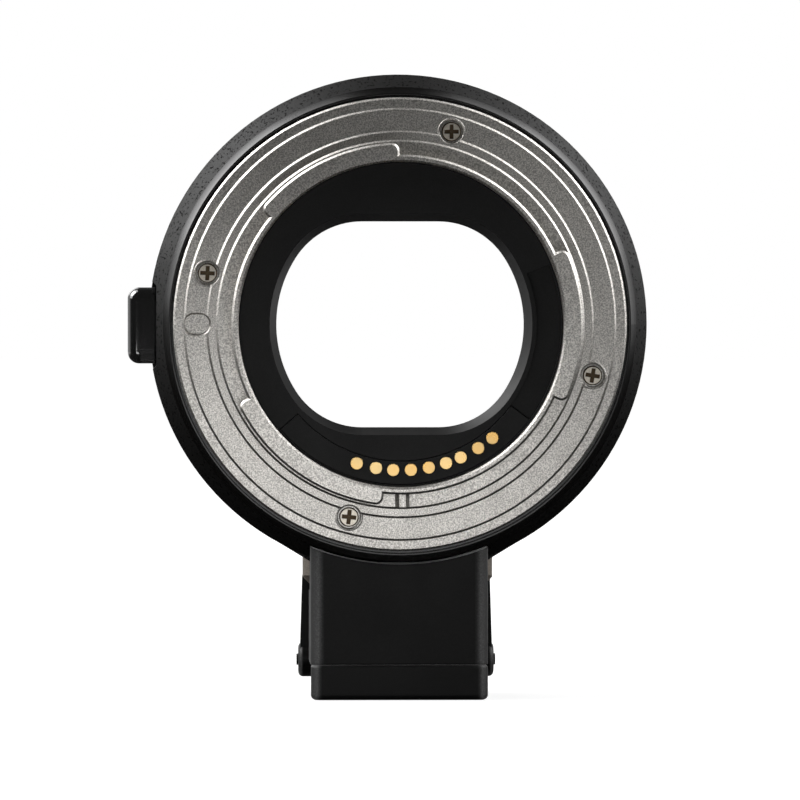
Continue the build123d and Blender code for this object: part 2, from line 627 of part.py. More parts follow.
def housing():
    """Stepped outer shell with its web, chin, lever notch and lock pocket."""
    outline = [
        (COUNTERBORE_R, LIP_DROP),
        (LIP_R, LIP_DROP),
        (BARREL_R, LIP_DROP + BARREL_R - LIP_R),
        (BARREL_R, SHOULDER_Y),
        (RING_R, RING_Y),
        (RING_R, HOUSING_FRONT_Y - FRONT_BEVEL),
        (RING_R - FRONT_BEVEL, HOUSING_FRONT_Y),
        (FRONT_COUNTERBORE_R, HOUSING_FRONT_Y),
        (FRONT_COUNTERBORE_R, LENS_BACK_Y),
        (HOUSING_BORE_R, LENS_BACK_Y),
        (HOUSING_BORE_R, WEB_BACK_Y),
        (WEB_R, WEB_BACK_Y),
        (WEB_R, BAFFLE_BACK_Y),
        (BAFFLE_FLANGE_R + SLIP, BAFFLE_BACK_Y),
        (BAFFLE_FLANGE_R + SLIP, CAMERA_FLANGE_T),
        (COUNTERBORE_R, CAMERA_FLANGE_T),
    ]
    shell = turned(outline)
    chin_front_y = HOUSING_FRONT_Y - FRONT_BEVEL
    chin_bar = across(chin_section(), RING_Y, chin_front_y)
    shell += chin_bar - across(Circle(FRONT_COUNTERBORE_R), LENS_BACK_Y, chin_front_y)
    shell -= block((-RING_R, SHOULDER_Y, -2 * RING_R), (RING_R, FLANGE_DISTANCE, -CHIN_Z))

    notch = notch_section(-LEVER_BOTTOM - NOTCH_ROOM, LEVER_TOP + NOTCH_ROOM)
    shell -= across(notch, SHOULDER_Y, LEVER_FRONT_Y + SLIP)
    pocket_half = SLIDE_HALF_HEIGHT + SLIDE_ROOM
    slot_low_y = SLIDE_Y - LOCK_TRAVEL - SLIDE_ROOM
    slot_high_y = SLIDE_FRONT_Y + SLIP
    pocket_out_x = SLIDE_OUT_X + SLIDE_ROOM
    shell -= block(
        (-RING_R, slot_low_y, -pocket_half),
        (-pocket_out_x, slot_high_y, pocket_half),
    )
    shell -= block(
        (-pocket_out_x, LOCK_POCKET_Y, -pocket_half),
        (-sqrt(HOUSING_BORE_R**2 - pocket_half**2) + SLIP, slot_high_y, pocket_half),
    )
    shell -= rod(LOCK_PIN_R + SLIDE_ROOM, -LOCK_PIN_CIRCLE_R, 0, slot_high_y, LENS_BACK_Y)

    screw_tip = MOUNT_SCREW_LENGTH + SLIP
    for angle in every(MOUNT_SCREWS, CAMERA_SCREW_ANGLE):
        x, z = polar(CAMERA_SCREW_R, angle)
        shell -= rod(MOUNT_SCREW_R + SCREW_ROOM, x, z, CAMERA_FLANGE_T, CAMERA_HEAD_Y + screw_tip)
    for angle in every(MOUNT_SCREWS, LENS_SCREW_ANGLE):
        x, z = polar(LENS_SCREW_R, angle)
        shell -= rod(MOUNT_SCREW_R + SCREW_ROOM, x, z, LENS_HEAD_Y - screw_tip, LENS_BACK_Y)
    for x, z in ear_screw_places():
        shell -= rod(EAR_SCREW_R + SCREW_ROOM, x, z, COVER_BACK_Y - EAR_SCREW_LENGTH - SLIP, WEB_BACK_Y)
    for x in (-SHOE_SCREW_X, SHOE_SCREW_X):
        tip_z = -SHOE_BOTTOM_Z + SHOE_SCREW_LENGTH + SLIP
        shell -= post(SHOE_SCREW_R + SCREW_ROOM, x, SHOE_MIDDLE_Y, -CHIN_Z, tip_z)
    for mark in (index_dot(), index_square()):
        shell -= mark
    return shell


def index_dot():
    x, z = polar(MARK_R, MARK_DOT_ANGLE)
    return rod(MARK_DOT_R, x, z, HOUSING_FRONT_Y - MARK_T, HOUSING_FRONT_Y)


def index_square():
    face = Rot(0, 0, MARK_SQUARE_ANGLE) * Pos(MARK_R, 0) * Rectangle(MARK_SQUARE, MARK_SQUARE)
    return across(face, HOUSING_FRONT_Y - MARK_T, HOUSING_FRONT_Y)


def light_shield():
    """Thin sleeve that lines the housing and closes the lock pocket."""
    return sector(SHIELD_IN_R, SHIELD_OUT_R, WEB_BACK_Y, LENS_BACK_Y - SLIP)


def window_solid(grow):
    """Picture window, grown all round: a circle with a flat top and bottom and round
    corners, which narrows from the camera side towards the lens."""
    half_width = WINDOW_HALF_WIDTH + grow
    half_height = WINDOW_HALF_HEIGHT + grow
    cut_circle = Circle(half_width) & Rectangle(2 * half_width, 2 * half_height)
    face = fillet(cut_circle.vertices(), WINDOW_CORNER_R + grow)
    towards_lens = Plane(origin=(0, BAFFLE_FACE_Y, 0), x_dir=(1, 0, 0), z_dir=(0, 1, 0))
    return extrude(towards_lens * face, amount=WINDOW_DEPTH, taper=degrees(atan2(WINDOW_TAPER, WINDOW_DEPTH)))


def camera_baffle():
    """Black moulding in the camera tube, with the picture window and the contact tray."""
    skirt_in_r = BAFFLE_R - BAFFLE_SKIRT_T
    outline = [
        (0, BAFFLE_FACE_Y),
        (BAFFLE_R, BAFFLE_FACE_Y),
        (BAFFLE_R, BAFFLE_FLANGE_Y),
        (BAFFLE_FLANGE_R, BAFFLE_FLANGE_Y),
        (BAFFLE_FLANGE_R, BAFFLE_BACK_Y),
        (skirt_in_r, BAFFLE_BACK_Y),
        (skirt_in_r, BAFFLE_FACE_Y + BAFFLE_FACE_T),
        (0, BAFFLE_FACE_Y + BAFFLE_FACE_T),
    ]
    shell = turned(outline)
    tray_in_r = CONTACT_BLOCK_IN_R - WINDOW_WALL
    shell += sector(
        tray_in_r, BAFFLE_R, BAFFLE_FACE_Y, FLEX_Y,
        CONTACT_BLOCK_START - TRAY_MARGIN, CONTACT_BLOCK_END + TRAY_MARGIN,
    )
    shell += window_solid(WINDOW_WALL)
    shell -= window_solid(0)
    pocket_in_r = CONTACT_BLOCK_IN_R - SLIP
    pocket_out_r = CONTACT_BLOCK_OUT_R + SLIP
    shell -= sector(
        pocket_in_r, pocket_out_r, BAFFLE_FACE_Y - SLIP, TRAY_Y,
        CONTACT_BLOCK_START - EDGE, CONTACT_BLOCK_END + EDGE,
    )
    shell -= sector(
        pocket_in_r, pocket_out_r, BAFFLE_FACE_Y - SLIP, BAFFLE_FACE_Y + SHELF_DEPTH,
        CONTACT_BLOCK_END, SHELF_END,
    )
    pad_room = CONTACT_PAD_R + SLIP
    shell -= sector(
        CONTACT_R - pad_room, CONTACT_R + pad_room, TRAY_Y, FLEX_Y,
        CONTACT_ANGLES[0] - CONTACT_MARGIN, CONTACT_ANGLES[-1] + CONTACT_MARGIN,
    )
    return shell


def camera_contact_block():
    """Arc-shaped carrier of the fixed contacts."""
    carrier = sector(
        CONTACT_BLOCK_IN_R, CONTACT_BLOCK_OUT_R, BAFFLE_FACE_Y, TRAY_Y, CONTACT_BLOCK_START, CONTACT_BLOCK_END
    )
    for angle in CONTACT_ANGLES:
        x, z = polar(CONTACT_R, angle)
        carrier -= rod(CONTACT_PAD_R + SCREW_ROOM, x, z, BAFFLE_FACE_Y, TRAY_Y)
    return carrier


def camera_contact(angle):
    """Fixed contact: a plated stud that reaches the flexible cable."""
    x, z = polar(CONTACT_R, angle)
    return rod(CONTACT_PAD_R, x, z, BAFFLE_FACE_Y - CONTACT_PROUD, FLEX_Y)


def flex_cable():
    """Flexible cable: an arc under the contacts, a tail to the board and a tab on it."""
    start = CONTACT_ANGLES[0] - CONTACT_MARGIN
    half_turn = degrees(FLEX_WIDTH / 2 / FLEX_TAIL_R)
    arc = sector(FLEX_IN_R, FLEX_TAIL_R, FLEX_Y, FLEX_Y + FLEX_T, start, FLEX_ANGLE + half_turn)
    span = (FLEX_ANGLE - half_turn, FLEX_ANGLE + half_turn)
    top_y = BOARD_BACK_Y + FLEX_T
    tail = sector(FLEX_TAIL_R - FLEX_T, FLEX_TAIL_R, FLEX_Y, top_y, *span)
    tab = sector(FLEX_TAIL_R - FLEX_T, FLEX_TAIL_R + FLEX_TAB, BOARD_BACK_Y, top_y, *span)
    return arc + tail + tab


def circuit_board():
    board = sector(BOARD_IN_R, BOARD_OUT_R, WEB_BACK_Y, BOARD_BACK_Y, BOARD_START, BOARD_END)
    for x, z in ear_screw_places():
        board -= rod(EAR_SCREW_R + SLIP, x, z, WEB_BACK_Y, BOARD_BACK_Y)
    return board


def controller_chip():
    x, z = polar(CHIP_R, CHIP_ANGLE)
    face = Pos(x, z) * Rot(0, 0, CHIP_ANGLE) * Rectangle(CHIP_WIDTH, CHIP_LENGTH)
    return across(face, BOARD_BACK_Y, BOARD_BACK_Y + CHIP_T)


def ear_screw_places():
    """The two screws that hold the lens contact block and the cover."""
    middle_r = (LENS_BLOCK_EAR_IN_R + LENS_BLOCK_EAR_OUT_R) / 2
    angles = (LENS_BLOCK_START - EAR_MIDDLE, LENS_BLOCK_END + EAR_MIDDLE)
    return [polar(middle_r, angle) for angle in angles]


def lens_contact_block():
    """Carrier of the sprung pins, with an ear at each end."""
    carrier = sector(
        LENS_BLOCK_IN_R, LENS_BLOCK_OUT_R, BOARD_BACK_Y, LENS_BLOCK_Y, LENS_BLOCK_START, LENS_BLOCK_END
    )
    carrier += sector(
        LENS_BLOCK_EAR_IN_R, LENS_BLOCK_EAR_OUT_R, BOARD_BACK_Y, EAR_BACK_Y,
        LENS_BLOCK_START - LENS_BLOCK_EAR, LENS_BLOCK_END + LENS_BLOCK_EAR,
    )
    for angle in PIN_ANGLES:
        x, z = polar(PIN_CIRCLE_R, angle)
        carrier -= rod(PIN_R + RUNNING, x, z, PIN_SHOULDER_Y, LENS_BLOCK_Y)
        carrier -= rod(PIN_COLLAR_R + SLIP, x, z, BOARD_BACK_Y, PIN_SHOULDER_Y)
    for x, z in ear_screw_places():
        carrier -= rod(EAR_SCREW_R + SCREW_ROOM, x, z, BOARD_BACK_Y, EAR_BACK_Y)
    return carrier


def inner_cover():
    """Black ring that hides the electronics from the lens side and rests on the block's ears."""
    cover = sector(COVER_IN_R, COVER_OUT_R, EAR_BACK_Y, COVER_BACK_Y)
    cover -= sector(
        LENS_BLOCK_IN_R - SLIP, LENS_BLOCK_OUT_R + SLIP, EAR_BACK_Y, COVER_BACK_Y,
        LENS_BLOCK_START - EDGE, LENS_BLOCK_END + EDGE,
    )
    for x, z in ear_screw_places():
        cover -= rod(EAR_SCREW_R + SCREW_ROOM, x, z, EAR_BACK_Y, COVER_BACK_Y)
    return cover


def ear_screws():
    screw = TO_LENS * cheese_screw(EAR_SCREW_R, EAR_SCREW_LENGTH, EAR_SCREW_HEAD_R, EAR_SCREW_HEAD_T)
    return Compound([Pos(x, COVER_BACK_Y, z) * screw for x, z in ear_screw_places()])


def lens_contact_pin(angle):
    """Sprung contact pin: a bevelled tip, a shank and the collar that holds it in."""
    tip_y = LENS_BLOCK_Y + PIN_PROUD
    collar_top_y = PIN_COLLAR_Y + PIN_COLLAR_T
    pin = turned([
        (0, PIN_COLLAR_Y),
        (PIN_COLLAR_R, PIN_COLLAR_Y),
        (PIN_COLLAR_R, collar_top_y),
        (PIN_R, collar_top_y),
        (PIN_R, tip_y - PIN_BEVEL),
        (PIN_R - PIN_BEVEL, tip_y),
        (0, tip_y),
    ])
    x, z = polar(PIN_CIRCLE_R, angle)
    return Pos(x, 0, z) * pin


def lens_contact_springs():
    """Folded ribbon springs that stand on the board and push the pins out."""
    low_y = BOARD_BACK_Y + PIN_SPRING_T / 2
    high_y = PIN_COLLAR_Y - PIN_SPRING_T / 2
    rise = (high_y - low_y) / PIN_SPRING_FOLDS
    points = [(-PIN_SPRING_REACH, low_y)]
    for fold in range(PIN_SPRING_FOLDS + 1):
        side = 1 if fold % 2 == 0 else -1
        points.append((side * PIN_SPRING_REACH, low_y + rise * fold))
    points.append((-points[-1][0], high_y))
    ribbon = trace(Polyline(*points), PIN_SPRING_T)
    spring = extrude(ribbon, amount=PIN_SPRING_WIDTH / 2, both=True)
    places = [(angle, *polar(PIN_CIRCLE_R, angle)) for angle in PIN_ANGLES]
    return Compound([Pos(x, 0, z) * Rot(0, -angle, 0) * spring for angle, x, z in places])


def release_lever():
    """Glossy thumb lever with grip grooves, a ledge along the lower edge of its camera end and a stem."""
    outer = make_face(Polyline(
        (-LEVER_UNDER_X, LEVER_TOP),
        (-LEVER_REACH, LEVER_TOP),
        (-LEVER_REACH, -LEVER_BOTTOM),
        (-LEVER_UNDER_X, -LEVER_BOTTOM),
        close=True,
    ))
    corners = [v for v in outer.vertices() if v.X < -LEVER_REACH + EDGE]
    lever = across(fillet(corners, LEVER_CORNER), LEVER_Y, LEVER_FRONT_Y)
    end_edges = lever.faces().sort_by(Axis.Y)[0].edges()
    lever = fillet([e for e in end_edges if e.center().X < -LEVER_UNDER_X - EDGE], LEVER_ROUND)
    lever -= block(
        (-LEVER_REACH + LEVER_CORNER, LEVER_Y - PAST, -LEVER_BOTTOM - PAST),
        (-LEVER_UNDER_X + PAST, LEVER_Y + LEVER_LEDGE_DEPTH, -LEVER_BOTTOM + LEVER_LEDGE),
    )
    middle_y = (LEVER_Y + LEVER_FRONT_Y) / 2
    for k in range(LEVER_RIDGES):
        groove_y = middle_y + (k - (LEVER_RIDGES - 1) / 2) * LEVER_RIDGE_PITCH
        lever -= Pos(-LEVER_REACH, groove_y, 0) * Cylinder(LEVER_GROOVE_R, 2 * LEVER_REACH)
    stem_half = SLIDE_HALF_HEIGHT
    lever += block((-LEVER_UNDER_X, SLIDE_Y, -stem_half), (-SLIDE_OUT_X, SLIDE_FRONT_Y, stem_half))
    for y, z in slide_screw_places():
        tip_x = -SLIDE_IN_X - SLIDE_SCREW_HEAD_T - SLIDE_SCREW_LENGTH - SLIP
        lever -= bar(SLIDE_SCREW_R + SCREW_ROOM, y, z, tip_x, -SLIDE_OUT_X)
    return lever


def slide_screw_places():
    """The two screws that tie the lever to the lock slide."""
    middle_y = (SLIDE_Y + SLIDE_FRONT_Y) / 2
    return [(middle_y, -SLIDE_SCREW_Z), (middle_y, SLIDE_SCREW_Z)]


def lock_slide():
    """Metal slide inside the housing wall that carries the lock pin."""
    carrier = block(
        (-SLIDE_OUT_X, SLIDE_Y, -SLIDE_HALF_HEIGHT),
        (-SLIDE_IN_X, SLIDE_FRONT_Y, SLIDE_HALF_HEIGHT),
    )
    carrier -= rod(LOCK_PIN_R, -LOCK_PIN_CIRCLE_R, 0, SLIDE_FRONT_Y - LOCK_PIN_SEAT, SLIDE_FRONT_Y)
    for y, z in slide_screw_places():
        carrier -= bar(SLIDE_SCREW_R + SCREW_ROOM, y, z, -SLIDE_OUT_X, -SLIDE_IN_X)
        carrier -= bar(SLIDE_SCREW_HEAD_R + SLIP, y, z, -SLIDE_IN_X - SLIDE_SCREW_HEAD_T, -SLIDE_IN_X)
    return carrier


def slide_screws():
    screws = []
    for y, z in slide_screw_places():
        seat_x = -SLIDE_IN_X - SLIDE_SCREW_HEAD_T
        head = bar(SLIDE_SCREW_HEAD_R, y, z, seat_x, -SLIDE_IN_X)
        screws.append(head + bar(SLIDE_SCREW_R, y, z, seat_x - SLIDE_SCREW_LENGTH, seat_x))
    return Compound(screws)


def lock_pin():
    tip_y = LENS_SEAT_Y + LOCK_PIN_PROUD
    low_y = SLIDE_FRONT_Y - LOCK_PIN_SEAT
    pin = turned([
        (0, low_y),
        (LOCK_PIN_R, low_y),
        (LOCK_PIN_R, tip_y - EDGE),
        (LOCK_PIN_R - EDGE, tip_y),
        (0, tip_y),
    ])
    return Pos(-LOCK_PIN_CIRCLE_R, 0, 0) * pin


def lock_spring():
    """Coil behind the lock slide, of square wire, that pushes the pin out."""
    rise = SLIDE_Y - LOCK_POCKET_Y - LOCK_SPRING_WIRE
    path = Helix(rise / LOCK_SPRING_TURNS, rise, LOCK_SPRING_R)
    section = Plane(origin=path @ 0, x_dir=(1, 0, 0), z_dir=path % 0)
    coil = sweep(section * Rectangle(LOCK_SPRING_WIRE, LOCK_SPRING_WIRE), path=path, is_frenet=True)
    low_y = LOCK_POCKET_Y + LOCK_SPRING_WIRE / 2
    return Pos(-LOCK_PIN_CIRCLE_R, low_y, 0) * Rot(-90, 0, 0) * coil


def tripod_shoe():
    """Metal dovetail plate under the chin, which the foot is clamped to."""
    outline = [
        (SHOE_Y, -CHIN_Z + SHOE_HUG),
        (SHOE_FRONT_Y, -CHIN_Z + SHOE_HUG),
        (SHOE_FRONT_Y, -SHOE_SLOPE_Z),
        (SHOE_FRONT_Y + SHOE_DOVETAIL, -SHOE_TOE_Z),
        (SHOE_FRONT_Y + SHOE_DOVETAIL, -SHOE_BOTTOM_Z),
        (SHOE_Y - SHOE_DOVETAIL, -SHOE_BOTTOM_Z),
        (SHOE_Y - SHOE_DOVETAIL, -SHOE_TOE_Z),
        (SHOE_Y, -SHOE_SLOPE_Z),
    ]
    shoe = sideways(outline, SHOE_HALF_WIDTH)
    shoe -= across(chin_section(), SHOE_Y - PAST, SHOE_FRONT_Y + PAST)
    trim = make_face(Polyline(
        (SHOE_HALF_WIDTH, -SHOE_BOTTOM_Z + SHOE_SIDE_BEVEL),
        (SHOE_HALF_WIDTH, -SHOE_BOTTOM_Z),
        (SHOE_HALF_WIDTH - SHOE_SIDE_BEVEL, -SHOE_BOTTOM_Z),
        close=True,
    ))
    for side in (trim, mirror(trim, Plane.YZ)):
        shoe -= across(side, SHOE_Y - 2 * SHOE_DOVETAIL, SHOE_FRONT_Y + 2 * SHOE_DOVETAIL)
    for x in (-SHOE_SCREW_X, SHOE_SCREW_X):
        hole = countersink(SHOE_SCREW_R, SHOE_SCREW_LENGTH, SHOE_SCREW_HEAD_R)
        shoe -= Pos(x, SHOE_MIDDLE_Y, -SHOE_BOTTOM_Z) * Rot(180, 0, 0) * hole
    return shoe


def shoe_screws():
    screw = Rot(180, 0, 0) * countersunk_screw(SHOE_SCREW_R, SHOE_SCREW_LENGTH, SHOE_SCREW_HEAD_R)
    return Compound([Pos(x, SHOE_MIDDLE_Y, -SHOE_BOTTOM_Z) * screw for x in (-SHOE_SCREW_X, SHOE_SCREW_X)])


def latch_gap_cutter():
    """Room in the foot for the flap's two outer knuckles."""
    room_r = LATCH_KNUCKLE_R + LATCH_ROOM
    outer_x = KNUCKLE_END_X + LATCH_ROOM
    spans = ((-outer_x, -LATCH_MIDDLE), (LATCH_MIDDLE, outer_x))
    return [bar(room_r, LATCH_AXIS_Y, -LATCH_AXIS_Z, low_x, high_x) for low_x, high_x in spans]


def foot_body():
    """Upper block of the foot: saddle, dovetail groove and the middle hinge knuckle."""
    section = Pos(0, (FOOT_Y + FOOT_BACK_Y) / 2) * Rectangle(2 * FOOT_HALF_WIDTH, FOOT_BACK_Y - FOOT_Y)
    near = [v for v in section.vertices() if v.Y < FOOT_Y + EDGE]
    section = fillet(near, FOOT_ROUND)
    far = [v for v in section.vertices() if v.Y > FOOT_BACK_Y - EDGE]
    section = fillet(far, FOOT_BACK_ROUND)
    body = upright(section, -FOOT_BOTTOM_Z, -BARREL_R + FOOT_HALF_WIDTH)
    saddle_r = BARREL_R + SADDLE_GAP
    body -= across(Circle(saddle_r), FOOT_Y - PAST, FOOT_BACK_Y + PAST)
    saddle_end_y = FOOT_Y + SADDLE_LENGTH
    wide = FOOT_HALF_WIDTH + PAST
    body -= block((-wide, saddle_end_y, -CHIN_Z - SLIP), (wide, FOOT_BACK_Y + PAST, 0))
    body -= sideways([
        (SHOE_Y - SLIP, 0),
        (SHOE_Y - SLIP, -SHOE_SLOPE_Z),
        (SHOE_Y - SHOE_DOVETAIL - SLIP, -SHOE_TOE_Z),
        (SHOE_Y - SHOE_DOVETAIL - SLIP, -SHOE_BOTTOM_Z),
        (FOOT_BACK_Y + PAST, -SHOE_BOTTOM_Z),
        (FOOT_BACK_Y + PAST, 0),
    ], wide)
    knuckle_x = LATCH_MIDDLE - LATCH_ROOM
    knuckle = bar(LATCH_KNUCKLE_R, LATCH_AXIS_Y, -LATCH_AXIS_Z, -knuckle_x, knuckle_x)
    web = block(
        (-knuckle_x, FOOT_BACK_Y - PAST, -FOOT_BOTTOM_Z),
        (knuckle_x, LATCH_AXIS_Y, -LATCH_AXIS_Z + LATCH_KNUCKLE_R),
    )
    body += knuckle + web
    for cutter in latch_gap_cutter():
        body -= cutter
    body -= bar(LATCH_PIN_R, LATCH_AXIS_Y, -LATCH_AXIS_Z, -LATCH_MIDDLE, LATCH_MIDDLE)
    bush_top_z = -SOLE_BOTTOM_Z + BUSH_LENGTH
    body -= post(BUSH_R + SLIP, 0, FOOT_MIDDLE_Y, -FOOT_BOTTOM_Z, bush_top_z)
    body -= post(BOLT_ROOM_R, 0, FOOT_MIDDLE_Y, bush_top_z, bush_top_z + BOLT_ROOM)
    for x in (-SOLE_SCREW_X, SOLE_SCREW_X):
        tip_z = -SOLE_BOTTOM_Z + SOLE_SCREW_LENGTH + SLIP
        body -= post(SOLE_SCREW_R + SCREW_ROOM, x, FOOT_MIDDLE_Y, -FOOT_BOTTOM_Z, tip_z)
    return body


def foot_sole():
    """Base plate of the foot, with rounded corners and lower edges."""
    back_half_width = FOOT_HALF_WIDTH - SOLE_DRAFT
    section = make_face(Polyline(
        (-FOOT_HALF_WIDTH, SOLE_Y),
        (FOOT_HALF_WIDTH, SOLE_Y),
        (back_half_width, FOOT_BACK_Y),
        (-back_half_width, FOOT_BACK_Y),
        close=True,
    ))
    near = [v for v in section.vertices() if v.Y < SOLE_Y + EDGE]
    sole = upright(fillet(near, SOLE_CORNER), -SOLE_BOTTOM_Z, -FOOT_BOTTOM_Z)
    sole = chamfer(sole.faces().sort_by(Axis.Z)[-1].outer_wire().edges(), SOLE_SEAM)
    sole = fillet(sole.faces().sort_by(Axis.Z)[0].outer_wire().edges(), SOLE_ROUND)
    for cutter in latch_gap_cutter():
        sole -= cutter
    sole -= bar(LATCH_KNUCKLE_R + SLIP, LATCH_AXIS_Y, -LATCH_AXIS_Z, -LATCH_MIDDLE, LATCH_MIDDLE)
    sole -= post(BUSH_R + SLIP, 0, FOOT_MIDDLE_Y, -SOLE_BOTTOM_Z, -FOOT_BOTTOM_Z)
    for x in (-SOLE_SCREW_X, SOLE_SCREW_X):
        hole = countersink(SOLE_SCREW_R, SOLE_SCREW_LENGTH, SOLE_SCREW_HEAD_R)
        sole -= Pos(x, FOOT_MIDDLE_Y, -SOLE_BOTTOM_Z) * Rot(180, 0, 0) * hole
    return sole


def sole_screws():
    screw = Rot(180, 0, 0) * countersunk_screw(SOLE_SCREW_R, SOLE_SCREW_LENGTH, SOLE_SCREW_HEAD_R)
    return Compound([Pos(x, FOOT_MIDDLE_Y, -SOLE_BOTTOM_Z) * screw for x in (-SOLE_SCREW_X, SOLE_SCREW_X)])


def tripod_bush():
    """Threaded metal bush for a tripod screw, drawn with a plain bore."""
    top_z = -SOLE_BOTTOM_Z + BUSH_LENGTH
    bush = post(BUSH_R, 0, FOOT_MIDDLE_Y, -SOLE_BOTTOM_Z, top_z)
    return bush - post(BUSH_THREAD_R, 0, FOOT_MIDDLE_Y, -SOLE_BOTTOM_Z, top_z)


def latch_flap():
    """Flap on the lens side of the foot: two knuckles, a tapered plate and the clamping lip."""
    hinge_z = -LATCH_AXIS_Z
    plate = make_face(Polyline(
        (-LATCH_HALF_WIDTH, hinge_z),
        (-LATCH_TOP_HALF_WIDTH, -LATCH_TOP_Z),
        (LATCH_TOP_HALF_WIDTH, -LATCH_TOP_Z),
        (LATCH_HALF_WIDTH, hinge_z),
        close=True,
    ))
    top = [v for v in plate.vertices() if v.Y > -LATCH_TOP_Z - EDGE]
    plate = fillet(top, LATCH_CORNER)
    flap = across(plate, LATCH_IN_Y, LATCH_OUT_Y)
    lip_y = SHOE_FRONT_Y + SLIP
    lip_low_z = -LATCH_TOP_Z - LATCH_LIP_T
    lip = sideways([
        (lip_y, -LATCH_TOP_Z),
        (LATCH_IN_Y, -LATCH_TOP_Z),
        (LATCH_IN_Y, lip_low_z - SHOE_DOVETAIL),
        (lip_y, lip_low_z),
    ], LATCH_TOP_HALF_WIDTH - LATCH_CORNER)
    flap += lip
    middle_room = LATCH_KNUCKLE_R + LATCH_ROOM
    flap -= bar(middle_room, LATCH_AXIS_Y, hinge_z, -LATCH_MIDDLE, LATCH_MIDDLE)
    flap -= block(
        (-LATCH_MIDDLE, LATCH_IN_Y - PAST, hinge_z),
        (LATCH_MIDDLE, LATCH_AXIS_Y, hinge_z + middle_room),
    )
    knuckle_x = LATCH_MIDDLE + LATCH_ROOM
    for side in (-1, 1):
        knuckle = bar(LATCH_KNUCKLE_R, LATCH_AXIS_Y, hinge_z, *sorted((side * knuckle_x, side * KNUCKLE_END_X)))
        end = knuckle.faces().sort_by(Axis.X)[-1 if side > 0 else 0]
        flap += fillet(end.edges(), LATCH_KNUCKLE_ROUND)
    flap -= bar(LATCH_PIN_R + RUNNING, LATCH_AXIS_Y, hinge_z, -KNUCKLE_END_X, KNUCKLE_END_X)
    return flap


def latch_pin():
    end_x = KNUCKLE_END_X + LATCH_PIN_PROUD
    return bar(LATCH_PIN_R, LATCH_AXIS_Y, -LATCH_AXIS_Z, -end_x, end_x)


PIECES = {
    "housing": housing(),
    "camera_mount": camera_mount(),
    "camera_mount_screws": camera_mount_screws(),
    "camera_baffle": camera_baffle(),
    "camera_contact_block": camera_contact_block(),
    "flex_cable": flex_cable(),
    "circuit_board": circuit_board(),
    "controller_chip": controller_chip(),
    "light_shield": light_shield(),
    "lens_contact_block": lens_contact_block(),
    "lens_contact_springs": lens_contact_springs(),
    "inner_cover": inner_cover(),
    "contact_block_screws": ear_screws(),
    "lens_mount": lens_mount(),
    "lens_mount_screws": lens_mount_screws(),
    "mount_leaf_springs": mount_leaf_springs(),
    "index_dot": index_dot(),
    "index_square": index_square(),
    "release_lever": release_lever(),
    "lock_slide": lock_slide(),
    "lock_slide_screws": slide_screws(),
    "lock_pin": lock_pin(),
    "lock_spring": lock_spring(),
    "tripod_shoe": tripod_shoe(),
    "shoe_screws": shoe_screws(),
    "foot_body": foot_body(),
    "foot_sole": foot_sole(),
    "sole_screws": sole_screws(),
    "tripod_bush": tripod_bush(),
    "latch_flap": latch_flap(),
    "latch_pin": latch_pin(),
}
for number, angle in enumerate(CONTACT_ANGLES, 1):
    PIECES[f"camera_contact_{number}"] = camera_contact(angle)
for number, angle in enumerate(PIN_ANGLES, 1):
    PIECES[f"lens_contact_pin_{number}"] = lens_contact_pin(angle)

os.makedirs("parts", exist_ok=True)
for name, shape in PIECES.items():
    export_step(shape, f"parts/{name}.step")
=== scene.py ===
import json
import math

import bmesh
import bpy
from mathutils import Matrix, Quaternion, Vector


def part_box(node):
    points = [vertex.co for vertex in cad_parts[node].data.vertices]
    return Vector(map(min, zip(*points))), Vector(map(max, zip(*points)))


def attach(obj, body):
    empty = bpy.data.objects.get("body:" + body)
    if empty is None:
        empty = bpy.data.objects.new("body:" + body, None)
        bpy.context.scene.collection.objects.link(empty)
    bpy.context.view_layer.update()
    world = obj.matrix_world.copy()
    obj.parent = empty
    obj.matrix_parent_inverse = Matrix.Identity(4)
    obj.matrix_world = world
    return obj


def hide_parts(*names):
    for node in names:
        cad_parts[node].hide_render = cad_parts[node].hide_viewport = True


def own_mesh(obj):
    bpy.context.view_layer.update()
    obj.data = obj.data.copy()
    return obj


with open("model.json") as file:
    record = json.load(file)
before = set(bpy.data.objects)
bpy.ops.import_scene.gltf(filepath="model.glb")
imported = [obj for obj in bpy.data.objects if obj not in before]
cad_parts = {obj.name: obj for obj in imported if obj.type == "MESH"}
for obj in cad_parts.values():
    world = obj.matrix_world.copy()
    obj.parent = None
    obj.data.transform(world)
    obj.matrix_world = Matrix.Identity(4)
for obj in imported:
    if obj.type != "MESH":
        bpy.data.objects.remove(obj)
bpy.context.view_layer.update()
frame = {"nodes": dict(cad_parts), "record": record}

NODES = frame["nodes"]
SCENE = bpy.context.scene
SCENE.view_settings.view_transform = "Standard"
FLOOR_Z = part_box("foot_sole")[0].z

# Lengths are in metres, unless a name ends in mm or per_mm

# Zones of the housing's finish, from the optical axis and along it
LIP_IN_R = 0.0322
LIP_OUT_R = 0.0330
LIP_BACK_Y = 0.004
SHOULDER_Y = 0.009

# Burr round the pockets of the camera mount's screws
RIM_COUNT = 4
RIM_ANGLE = 75.1          # of the first screw, in degrees
RIM_CIRCLE_R = 0.0277
RIM_Y = 0.0004            # the land that the pockets are cut in
RIM_R = 0.00178
BURR_R = 0.00016
RIM_SIDES = 12
RIM_POINTS = 64

# Thread of the tripod bush
THREAD_MINOR_R = 0.00255
THREAD_DEPTH = 0.000625
THREAD_PITCH = 0.00127
CREST = 0.25              # share of the pitch that is flat at the minor radius
ROOT = 0.125              # the same at the full depth
FLANK = (1 - CREST - ROOT) / 2
BUSH_MOUTH_R = 0.0033
BUSH_EDGE = 0.0002
BUSH_ROWS = 84
BUSH_POINTS = 72

